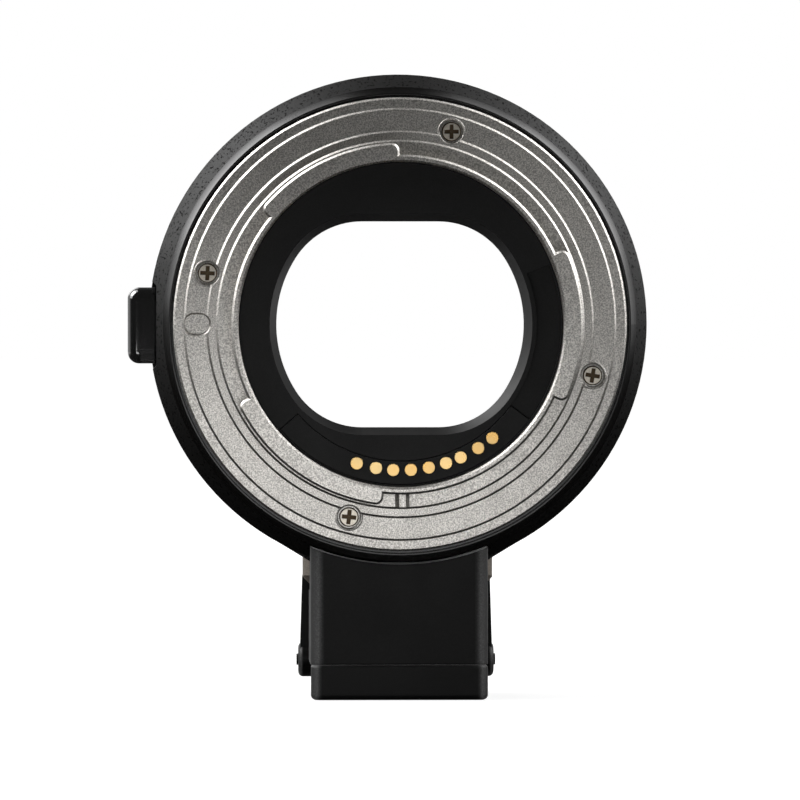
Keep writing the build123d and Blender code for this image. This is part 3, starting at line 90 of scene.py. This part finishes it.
# Coil of the lock spring
WIRE_R = 0.00015
COIL_TURNS = 3
COIL_STEPS = 120
COIL_SIDES = 10

# Stage: shares are of the white of backdrop or floor, in what the object reflects
FRONT_SHARE = 0.03        # on the camera's side
BACK_SHARE = 0.1          # straight behind the object
SIDE_SHARE = 0.3          # behind it, towards the sides
LEFT_SHARE = 0.7          # far to the left
WORLD_FILL = 0.03
FLOOR_R = 4.0
FLOOR_DROP = 0.00005      # below the sole
FLOOR_SHADE = 0.4
FLOOR_SHARE = 0.02        # near the object
FLOOR_FAR_SHARE = 0.7     # far off behind it
FLOOR_WHITE = 0.75        # near the object, where the lamps add the rest of the white
FLOOR_NEAR = 0.15
FLOOR_FAR = 0.4

# Camera
AZIMUTH = math.radians(-1.72)
ELEVATION = math.radians(1.0)
DISTANCE = 1.0
AIM = Vector((-0.00005, 0.0, -0.0105))


# Node helpers

class Graph:
    """A new material with short calls for adding and linking nodes."""

    def __init__(self, name):
        self.material = bpy.data.materials.new(name)
        self.material.use_nodes = True
        self.tree = self.material.node_tree
        self.tree.nodes.clear()
        self.out = self.tree.nodes.new("ShaderNodeOutputMaterial")

    def node(self, kind, **sets):
        made = self.tree.nodes.new(kind)
        for key, value in sets.items():
            setattr(made, key, value)
        return made

    def link(self, source, target):
        self.tree.links.new(source, target)

    def feed(self, target, value):
        """Set a socket from a number or colour, or link it from another socket."""
        if isinstance(value, bpy.types.NodeSocket):
            self.link(value, target)
        else:
            target.default_value = value

    def place(self):
        return self.node("ShaderNodeTexCoord").outputs["Object"]

    def math(self, operation, a, b=0.0):
        made = self.node("ShaderNodeMath", operation=operation)
        self.feed(made.inputs[0], a)
        self.feed(made.inputs[1], b)
        return made.outputs[0]

    def noise(self, per_mm, detail=2.0, roughness=0.5):
        """Noise whose grain is counted in cycles per millimetre."""
        made = self.node("ShaderNodeTexNoise")
        self.link(self.place(), made.inputs["Vector"])
        made.inputs["Scale"].default_value = per_mm * 1000
        made.inputs["Detail"].default_value = detail
        made.inputs["Roughness"].default_value = roughness
        return made.outputs["Fac"]

    def ramp(self, fac, low, high, low_out=0.0, high_out=1.0):
        made = self.node("ShaderNodeMapRange")
        self.feed(made.inputs["Value"], fac)
        made.inputs["From Min"].default_value = low
        made.inputs["From Max"].default_value = high
        made.inputs["To Min"].default_value = low_out
        made.inputs["To Max"].default_value = high_out
        return made.outputs["Result"]

    def mix(self, fac, a, b):
        made = self.node("ShaderNodeMix", data_type="RGBA")
        self.feed(made.inputs[0], fac)
        self.feed(made.inputs[6], a)
        self.feed(made.inputs[7], b)
        return made.outputs[2]

    def rounded(self, radius_mm):
        """Normal that is rounded over at edges."""
        made = self.node("ShaderNodeBevel", samples=6)
        made.inputs["Radius"].default_value = radius_mm / 1000
        return made.outputs["Normal"]

    def bump(self, height, depth_mm, strength=1.0, normal=None):
        made = self.node("ShaderNodeBump")
        made.inputs["Distance"].default_value = depth_mm / 1000
        made.inputs["Strength"].default_value = strength
        self.link(height, made.inputs["Height"])
        if normal is not None:
            self.link(normal, made.inputs["Normal"])
        return made.outputs["Normal"]

    def principled(self, **sets):
        shader = self.node("ShaderNodeBsdfPrincipled")
        for key, value in sets.items():
            self.feed(shader.inputs[key.replace("_", " ")], value)
        self.link(shader.outputs[0], self.out.inputs["Surface"])


def grey(value):
    return (value, value, value, 1)


def plated_metal():
    """Bead-blasted plating on the flats, satin bevels, and walls dull from the turning tool."""
    g = Graph("plated_metal")
    normal = g.node("ShaderNodeNewGeometry").outputs["True Normal"]
    split = g.node("ShaderNodeSeparateXYZ")
    g.link(normal, split.inputs[0])
    along = g.math("ABSOLUTE", split.outputs["Y"])
    flat = g.ramp(along, 0.85, 0.97)
    wall = g.ramp(along, 0.2, 0.45, 1.0, 0.0)
    grain = g.noise(4.4, detail=2.0, roughness=0.75)
    cloud = g.noise(0.25, detail=2.0)
    fleck = g.math("MULTIPLY", g.ramp(grain, 0.38, 0.62), flat)
    colour = g.mix(g.ramp(g.noise(5.5), 0.36, 0.64), (0.37, 0.356, 0.335, 1), (0.82, 0.794, 0.75, 1))
    dull = g.math("SUBTRACT", g.math("MULTIPLY", wall, 0.18), g.math("MULTIPLY", flat, 0.11))
    rough = g.math("ADD", dull, g.ramp(cloud, 0.3, 0.7, 0.40, 0.44))
    g.principled(
        Base_Color=colour, Metallic=1.0, Roughness=rough,
        Normal=g.bump(fleck, 0.012, 0.5, g.rounded(0.05)),
    )
    return g.material


def black_shell():
    """Black anodising: satin at the lip round the mount, rougher and pitted from the shoulder on."""
    g = Graph("black_shell")
    place = g.node("ShaderNodeSeparateXYZ")
    g.link(g.place(), place.inputs[0])
    across = g.node("ShaderNodeCombineXYZ")
    g.link(place.outputs["X"], across.inputs["X"])
    g.link(place.outputs["Z"], across.inputs["Z"])
    radius = g.node("ShaderNodeVectorMath", operation="LENGTH")
    g.link(across.outputs[0], radius.inputs[0])
    outer = g.ramp(place.outputs["Y"], LIP_BACK_Y, SHOULDER_Y)
    sheen = g.ramp(radius.outputs["Value"], LIP_IN_R, LIP_OUT_R, 0.72, 0.26)
    grain = g.noise(7.0, detail=3.0, roughness=0.65)
    pits = g.math("MULTIPLY", g.ramp(g.noise(3.0, detail=2.0), 0.57, 0.65), outer)
    cloud = g.noise(0.12, detail=3.0)
    colour = g.mix(g.ramp(grain, 0.45, 0.75), grey(0.002), (0.0075, 0.006, 0.005, 1))
    height = g.math("SUBTRACT", grain, g.math("MULTIPLY", pits, 1.5))
    satin = g.ramp(cloud, 0.3, 0.7, 0.22, 0.27)
    rough = g.math("ADD", satin, g.math("MULTIPLY", outer, 0.24))
    gloss = g.mix(outer, sheen, grey(0.35))
    g.principled(
        Base_Color=colour, Specular_IOR_Level=g.mix(pits, gloss, grey(0.05)), Roughness=rough,
        Normal=g.bump(height, 0.02, 0.5, g.rounded(0.15)),
    )
    return g.material


def matte_black(name, shade, rough, grain_per_mm, depth_mm, edge_mm=0.1, gloss=0.25, sheen=0.0, painted_edge_highlight=0.0):
    """Moulded or blasted black with a fine grain; sheen and a painted highlight lighten the rounded upright edges.
    """
    g = Graph(name)
    grain = g.noise(grain_per_mm, detail=3.0, roughness=0.6)
    cloud = g.noise(0.1, detail=2.0)
    fleck = g.ramp(grain, 0.4, 0.8)
    colour = g.mix(fleck, grey(shade * 0.8), grey(shade * 1.6))
    # Painted highlight: lighter colour on faces turned sideways, the rounded upright edges, standing in for the side
    # lamps' reflection there
    if painted_edge_highlight:
        facing = g.node("ShaderNodeSeparateXYZ")
        g.link(g.node("ShaderNodeTexCoord").outputs["Normal"], facing.inputs[0])
        aside = g.math("ABSOLUTE", facing.outputs["X"])
        highlight_band = g.math("MULTIPLY", g.ramp(aside, 0.05, 0.42), g.ramp(aside, 0.45, 1.0, 1.0, 0.15))
        colour = g.mix(highlight_band, colour, g.mix(fleck, grey(painted_edge_highlight * 0.8), grey(painted_edge_highlight * 1.6)))
    g.principled(
        Base_Color=colour, Specular_IOR_Level=gloss, Sheen_Weight=sheen, Sheen_Roughness=0.3,
        Roughness=g.ramp(cloud, 0.3, 0.7, rough - 0.04, rough + 0.04),
        Normal=g.bump(grain, depth_mm, 0.5, g.rounded(edge_mm)),
    )
    return g.material


def gloss_black():
    g = Graph("gloss_black")
    cloud = g.noise(0.4, detail=2.0)
    fine = g.noise(3.0, detail=2.0)
    g.principled(
        Base_Color=g.mix(cloud, grey(0.003), grey(0.006)),
        Roughness=g.ramp(fine, 0.3, 0.7, 0.10, 0.14), Coat_Weight=1.0, Coat_Roughness=0.04, Coat_IOR=2.3,
        Normal=g.bump(cloud, 0.01, 0.2, g.rounded(0.3)),
    )
    return g.material


def metal(name, dark, light, rough, grain_per_mm=5.0, depth_mm=0.006):
    """Plain machined or plated metal with a fine grain."""
    g = Graph(name)
    grain = g.noise(grain_per_mm, detail=3.0, roughness=0.55)
    colour = g.mix(g.ramp(grain, 0.3, 0.7), dark, light)
    g.principled(
        Base_Color=colour, Metallic=1.0, Roughness=g.ramp(grain, 0.3, 0.7, rough - 0.04, rough + 0.05),
        Normal=g.bump(grain, depth_mm, 0.5, g.rounded(0.06)),
    )
    return g.material


def screw_metal():
    """Nickel plating, smoother on the top, with painted shade: the colour goes dark brown down in the slots."""
    g = Graph("nickel_screw")
    # Painted shade: ambient occlusion turns the colour dark brown in the slots and other hollows of the heads
    painted_shade_ao = g.node("ShaderNodeAmbientOcclusion", samples=16)
    painted_shade_ao.inputs["Distance"].default_value = 0.0015
    clear = g.ramp(painted_shade_ao.outputs["AO"], 0.7, 0.9)
    grain = g.noise(5.0, detail=3.0, roughness=0.55)
    plate = g.mix(g.ramp(grain, 0.3, 0.7), (0.64, 0.58, 0.49, 1), (0.86, 0.81, 0.71, 1))
    g.principled(
        Base_Color=g.mix(clear, (0.13, 0.095, 0.06, 1), plate), Metallic=1.0,
        Roughness=g.ramp(clear, 0.0, 1.0, 0.5, 0.34), Normal=g.bump(grain, 0.002, 0.3, g.rounded(0.08)),
    )
    return g.material


def gold():
    """Gold plating, worn a little differently on each contact."""
    g = Graph("gold_contact")
    wear = g.node("ShaderNodeObjectInfo").outputs["Random"]
    cloud = g.noise(0.5, detail=2.0)
    fine = g.noise(4.0, detail=2.0)
    shade = g.math("ADD", g.math("MULTIPLY", wear, 0.5), g.ramp(cloud, 0.35, 0.65, 0.0, 0.5))
    g.principled(
        Base_Color=g.mix(shade, (0.78, 0.47, 0.15, 1), (0.98, 0.72, 0.34, 1)), Metallic=1.0,
        Roughness=g.ramp(cloud, 0.3, 0.7, 0.26, 0.34), Normal=g.bump(fine, 0.004, 0.4, g.rounded(0.1)),
    )
    return g.material


def paint(name, dark, light, rough=0.45):
    g = Graph(name)
    grain = g.noise(4.0, detail=3.0)
    g.principled(
        Base_Color=g.mix(g.ramp(grain, 0.3, 0.7), dark, light),
        Roughness=g.ramp(grain, 0.3, 0.7, rough, rough + 0.12),
        Normal=g.bump(grain, 0.01, 0.3),
    )
    return g.material


MATERIALS = {
    "black_shell": black_shell(),
    "plated_mount": plated_metal(),
    "nickel_screw": screw_metal(),
    "black_moulding": matte_black("black_moulding", 0.0075, 0.5, 6.0, 0.015, edge_mm=0.12, gloss=0.26),
    "flex_film": paint("flex_film", (0.4, 0.2, 0.05, 1), (0.52, 0.28, 0.07, 1), 0.3),
    "board": paint("board", (0.015, 0.1, 0.04, 1), (0.03, 0.16, 0.07, 1), 0.3),
    "chip": paint("chip", grey(0.012), grey(0.025), 0.4),
    "shield": matte_black("shield", 0.008, 0.65, 4.0, 0.02),
    "spring_steel": metal("spring_steel", grey(0.42), grey(0.58), 0.25),
    "red_mark": paint("red_mark", (0.45, 0.01, 0.012, 1), (0.6, 0.02, 0.02, 1)),
    "white_mark": paint("white_mark", (0.72, 0.72, 0.69, 1), (0.82, 0.82, 0.79, 1)),
    "gloss_lever": gloss_black(),
    "bright_steel": metal("bright_steel", grey(0.48), grey(0.64), 0.2),
    "shoe_metal": metal(
        "shoe_metal", (0.40, 0.355, 0.31, 1), (0.58, 0.52, 0.46, 1), 0.45, grain_per_mm=6.0, depth_mm=0.012,
    ),
    # The foot's rounded upright edges get a painted highlight in their colour
    "black_foot": matte_black(
        "black_foot", 0.004, 0.45, 5.0, 0.015, edge_mm=0.3, gloss=0.22, sheen=0.3, painted_edge_highlight=0.075,
    ),
    "bush_brass": metal("bush_brass", (0.5, 0.36, 0.14, 1), (0.66, 0.5, 0.22, 1), 0.25),
    "gold_contact": gold(),
}
for sub in frame["record"]["subparts"]:
    mesh = NODES[sub["node"]].data
    mesh.materials.clear()
    mesh.materials.append(MATERIALS[sub["material_slot"]])


# Fine detail on the solids

def new_piece(name, mesh, slot):
    """Object from a bmesh, in the material of a slot, that rides on the adapter's own body."""
    data = bpy.data.meshes.new(name)
    bmesh.ops.recalc_face_normals(mesh, faces=mesh.faces)
    mesh.to_mesh(data)
    mesh.free()
    for face in data.polygons:
        face.use_smooth = True
    made = bpy.data.objects.new(name, data)
    SCENE.collection.objects.link(made)
    data.materials.append(MATERIALS[slot])
    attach(made, "adapter")
    return made


def skin(mesh, rows, closed):
    """Faces between neighbouring rows of points, each a loop; the end rows meet if closed, and are capped if not."""
    loops = [[mesh.verts.new(point) for point in row] for row in rows]
    pairs = list(zip(loops, loops[1:]))
    if closed:
        pairs.append((loops[-1], loops[0]))
    else:
        mesh.faces.new(loops[0])
        mesh.faces.new(loops[-1])
    for a, b in pairs:
        for k in range(len(a)):
            j = (k + 1) % len(a)
            mesh.faces.new((a[k], a[j], b[j], b[k]))


def steps(count):
    """Angles that divide a full turn."""
    return [2 * math.pi * k / count for k in range(count)]


def screw_rims():
    """Bright burr that the cutter left round each screw's pocket in the camera's flange."""
    mesh = bmesh.new()
    for k in range(RIM_COUNT):
        angle = math.radians(RIM_ANGLE + 360 * k / RIM_COUNT)
        middle = Vector((RIM_CIRCLE_R * math.cos(angle), RIM_Y, RIM_CIRCLE_R * math.sin(angle)))
        rows = []
        for turn in steps(RIM_SIDES):
            r = RIM_R + BURR_R * math.cos(turn)
            y = -BURR_R * math.sin(turn)
            rows.append([middle + Vector((r * math.cos(t), y, r * math.sin(t))) for t in steps(RIM_POINTS)])
        skin(mesh, rows, True)
    new_piece("screw_rims", mesh, "plated_mount")


def thread_height(phase):
    """Share of the thread's depth at a phase of its pitch: flat crest, flank, flat root, flank."""
    phase %= 1.0
    if phase < CREST:
        return 0.0
    if phase < CREST + FLANK:
        return (phase - CREST) / FLANK
    if phase < CREST + FLANK + ROOT:
        return 1.0
    return (1.0 - phase) / FLANK


def threaded_bush():
    """The tripod bush with its thread cut in the bore and a countersink at each end."""
    low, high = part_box("tripod_bush")
    middle = (low + high) / 2
    outer_r = (high.x - low.x) / 2
    rows = []
    for k in range(BUSH_ROWS + 1):
        z = low.z + (high.z - low.z) * k / BUSH_ROWS
        mouth = BUSH_MOUTH_R - min(z - low.z, high.z - z)
        row = []
        for t in steps(BUSH_POINTS):
            cut = thread_height((z - low.z) / THREAD_PITCH - t / (2 * math.pi))
            r = max(THREAD_MINOR_R + THREAD_DEPTH * cut, mouth)
            row.append((middle.x + r * math.cos(t), middle.y + r * math.sin(t), z))
        rows.append(row)
    for z, r in (
        (high.z, outer_r - BUSH_EDGE), (high.z - BUSH_EDGE, outer_r),
        (low.z + BUSH_EDGE, outer_r), (low.z, outer_r - BUSH_EDGE),
    ):
        rows.append([(middle.x + r * math.cos(t), middle.y + r * math.sin(t), z) for t in steps(BUSH_POINTS)])
    mesh = bmesh.new()
    skin(mesh, rows, True)
    made = new_piece("threaded_bush", mesh, "bush_brass")
    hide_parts("tripod_bush")


def wound_spring():
    """The lock spring as a coil of round wire."""
    low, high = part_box("lock_spring")
    middle = (low + high) / 2
    coil_r = (high.x - low.x) / 2 - WIRE_R
    rise = high.y - low.y - 2 * WIRE_R
    rows = []
    for k in range(COIL_STEPS + 1):
        turn = 2 * math.pi * COIL_TURNS * k / COIL_STEPS
        out = Vector((math.cos(turn), 0, -math.sin(turn)))
        hub = Vector((middle.x, low.y + WIRE_R + rise * k / COIL_STEPS, middle.z))
        row = []
        for t in steps(COIL_SIDES):
            row.append(hub + out * (coil_r + WIRE_R * math.cos(t)) + Vector((0, WIRE_R * math.sin(t), 0)))
        rows.append(row)
    mesh = bmesh.new()
    skin(mesh, rows, False)
    made = new_piece("wound_spring", mesh, "spring_steel")
    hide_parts("lock_spring")
    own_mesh(made)


screw_rims()
threaded_bush()
wound_spring()


# Stage: floor, background and lamps

def white_to_camera(tree, glossy_share):
    """Strength of a background that is white to the camera and shows in metal and glass too."""
    path = tree.nodes.new("ShaderNodeLightPath")
    share = tree.nodes.new("ShaderNodeMath")
    share.operation = "MULTIPLY"
    tree.links.new(path.outputs["Is Glossy Ray"], share.inputs[0])
    tree.links.new(glossy_share, share.inputs[1])
    seen = path.outputs["Is Camera Ray"]
    for other in (share.outputs[0], path.outputs["Is Transmission Ray"]):
        top = tree.nodes.new("ShaderNodeMath")
        top.operation = "MAXIMUM"
        tree.links.new(seen, top.inputs[0])
        tree.links.new(other, top.inputs[1])
        seen = top.outputs[0]
    return seen


def backdrop():
    """White world that reflects dimly on the camera's side and more from behind, towards the sides."""
    world = bpy.data.worlds.new("studio")
    SCENE.world = world
    world.use_nodes = True
    tree = world.node_tree
    tree.nodes.clear()

    def ramp(value, low, high, low_out, high_out):
        made = tree.nodes.new("ShaderNodeMapRange")
        tree.links.new(value, made.inputs["Value"])
        for name, number in zip(("From Min", "From Max", "To Min", "To Max"), (low, high, low_out, high_out)):
            made.inputs[name].default_value = number
        return made.outputs["Result"]

    def math_node(operation, a, b=None):
        made = tree.nodes.new("ShaderNodeMath")
        made.operation = operation
        tree.links.new(a, made.inputs[0])
        if b is not None:
            tree.links.new(b, made.inputs[1])
        return made.outputs[0]

    towards = tree.nodes.new("ShaderNodeSeparateXYZ")
    tree.links.new(tree.nodes.new("ShaderNodeTexCoord").outputs["Generated"], towards.inputs[0])
    across = math_node("ABSOLUTE", towards.outputs["X"])
    sides = ramp(across, 0.1, 0.35, BACK_SHARE, SIDE_SHARE)
    sides = math_node("MAXIMUM", sides, ramp(towards.outputs["X"], -0.45, -0.8, 0.0, LEFT_SHARE))
    behind = ramp(towards.outputs["Y"], 0.0, 0.6, FRONT_SHARE, 1.0)
    share = math_node("MULTIPLY", sides, behind)
    base = tree.nodes.new("ShaderNodeMath")
    base.operation = "MAXIMUM"
    base.inputs[1].default_value = WORLD_FILL
    tree.links.new(white_to_camera(tree, share), base.inputs[0])
    glow = tree.nodes.new("ShaderNodeBackground")
    glow.inputs["Color"].default_value = grey(1.0)
    tree.links.new(base.outputs[0], glow.inputs["Strength"])
    out = tree.nodes.new("ShaderNodeOutputWorld")
    tree.links.new(glow.outputs[0], out.inputs[0])


def floor():
    """Pale floor that the camera sees as white, with the object's shadow on it, and clear from below."""
    bpy.ops.mesh.primitive_circle_add(
        vertices=96, radius=FLOOR_R, fill_type="NGON", location=(0, 0, FLOOR_Z - FLOOR_DROP),
    )
    made = bpy.context.object
    made.name = "floor"
    g = Graph("pale_floor")
    path = g.node("ShaderNodeLightPath")
    matte = g.node("ShaderNodeBsdfDiffuse")
    g.link(g.mix(path.outputs["Is Glossy Ray"], grey(FLOOR_SHADE), grey(FLOOR_SHARE)), matte.inputs["Color"])
    light = g.node("ShaderNodeEmission")
    both = g.node("ShaderNodeAddShader")
    place = g.place()
    from_middle = g.node("ShaderNodeVectorMath", operation="LENGTH")
    g.link(place, from_middle.inputs[0])
    away = from_middle.outputs["Value"]
    white = g.ramp(away, FLOOR_NEAR, FLOOR_FAR, FLOOR_WHITE, 1.0)
    split = g.node("ShaderNodeSeparateXYZ")
    g.link(place, split.inputs[0])
    behind = g.ramp(split.outputs["Y"], 0.0, FLOOR_NEAR)
    share = g.math("MULTIPLY", g.ramp(away, FLOOR_NEAR, FLOOR_FAR, FLOOR_SHARE, FLOOR_FAR_SHARE), behind)
    g.link(g.math("MULTIPLY", white_to_camera(g.tree, share), white), light.inputs["Strength"])
    g.link(matte.outputs[0], both.inputs[0])
    g.link(light.outputs[0], both.inputs[1])
    one_sided = g.node("ShaderNodeMixShader")
    g.link(g.node("ShaderNodeNewGeometry").outputs["Backfacing"], one_sided.inputs[0])
    g.link(both.outputs[0], one_sided.inputs[1])
    g.link(g.node("ShaderNodeBsdfTransparent").outputs[0], one_sided.inputs[2])
    g.link(one_sided.outputs[0], g.out.inputs["Surface"])
    made.data.materials.append(g.material)


def lamp(name, place, target, width, height, glow, roll=0.0):
    """Soft rectangular lamp; glow is the brightness of its face, and roll lifts its right end."""
    data = bpy.data.lights.new(name, "AREA")
    data.shape = "RECTANGLE"
    data.size = width
    data.size_y = height
    data.energy = glow * math.pi * width * height
    made = bpy.data.objects.new(name, data)
    SCENE.collection.objects.link(made)
    made.location = place
    aim = Vector(target) - Vector(place)
    turn = aim.to_track_quat("-Z", "Y") @ Quaternion((0, 0, 1), math.radians(roll))
    made.rotation_euler = turn.to_euler()
    made.visible_camera = False


backdrop()
floor()
RING = (0, 0.005, 0)
lamp("side_right", (0.559, 0.0, 0.421), RING, 0.45, 1.1, 1.9)
lamp("core_right", (0.552, 0.0, 0.416), RING, 0.45, 0.5, 3.0)
lamp("side_left", (-0.529, 0.0, 0.458), RING, 0.45, 1.0, 2.2)
lamp("core_left", (-0.522, 0.0, 0.452), RING, 0.45, 0.5, 4.6)
lamp("front_low", (-0.03, -0.13, -0.026), (-0.03, 0, -0.026), 0.14, 0.03, 2.05, roll=-6.0)
lamp("front_right", (0.045, -0.16, 0.018), (0.045, 0, 0.018), 0.06, 0.06, 0.33)
lamp("back_fill", (-0.45, 0.9, 0.5), (0, 0.02, 0), 0.7, 0.7, 1.5)


# Camera at the photograph's angle

data = bpy.data.cameras.new("camera")
data.lens = 324.0
data.sensor_width = 36.0
data.clip_start = 0.05
data.clip_end = 20.0
camera = bpy.data.objects.new("camera", data)
SCENE.collection.objects.link(camera)
back = Vector((
    math.sin(AZIMUTH) * math.cos(ELEVATION),
    -math.cos(AZIMUTH) * math.cos(ELEVATION),
    math.sin(ELEVATION),
))
camera.location = AIM + back * DISTANCE
camera.rotation_mode = "QUATERNION"
camera.rotation_quaternion = (-back).to_track_quat("-Z", "Y")
SCENE.camera = camera
